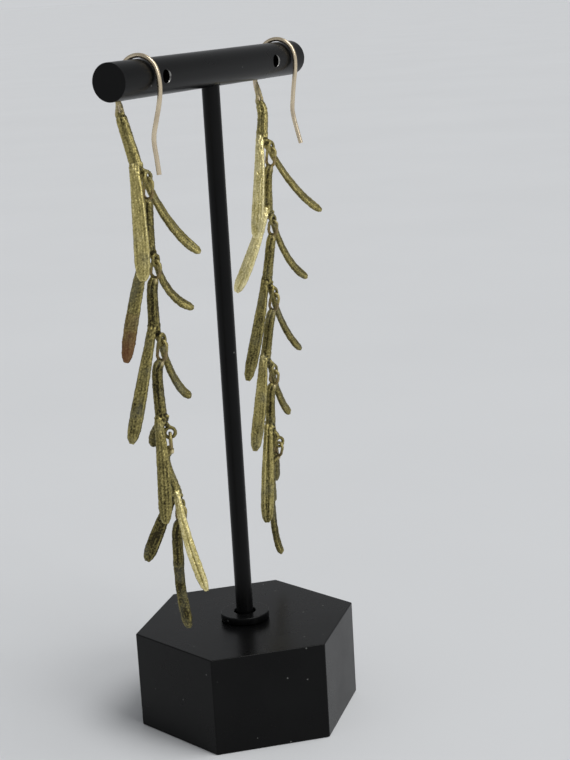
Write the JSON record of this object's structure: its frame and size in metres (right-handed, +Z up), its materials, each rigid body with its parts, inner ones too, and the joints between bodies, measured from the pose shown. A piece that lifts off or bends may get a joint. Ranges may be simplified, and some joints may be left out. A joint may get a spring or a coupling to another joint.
{
  "type": "pair of dangle earrings on a display stand",
  "caption": "Long dangle earrings of linked cast-bronze twigs with slim leaves, hung by their ear wires on a black T-bar display stand.",
  "frame": {"origin": "middle of the hexagonal base's underside, on the post's axis", "axes": "+Z up along the post, +X along the bar towards the far earring, +Y across the bar"},
  "size_m": [0.0697, 0.044, 0.137],
  "materials": {
    "bronze": "cast and antiqued, satin",
    "gold_wire": "polished pale gold wire",
    "black_coat": "satin black coat"
  },
  "bodies": {
    "stand": {"stand_base": "black_coat", "stand_collar": "black_coat", "stand_post": "black_coat", "stand_bar": "black_coat", "near_ear_hook": "gold_wire", "near_link_1": "bronze", "far_ear_hook": "gold_wire", "far_link_1": "bronze"},
    "near_drop": {"near_link_2": "bronze", "near_link_3": "bronze", "near_link_4": "bronze", "near_link_5": "bronze", "near_link_6": "bronze"},
    "far_drop": {"far_link_2": "bronze", "far_link_3": "bronze", "far_link_4": "bronze", "far_link_5": "bronze", "far_link_6": "bronze"}
  },
  "joints": [
    {"name": "near_drop_swing", "type": "hinge", "parent": "stand", "child": "near_drop", "pos_m": [-0.02515, -0.00036, 0.1137], "axis": [1, 0, 0], "range_deg": [-60, 60]},
    {"name": "far_drop_swing", "type": "hinge", "parent": "stand", "child": "far_drop", "pos_m": [0.02635, 0.00189, 0.1136], "axis": [1, 0, 0], "range_deg": [-60, 60]}
  ]
}
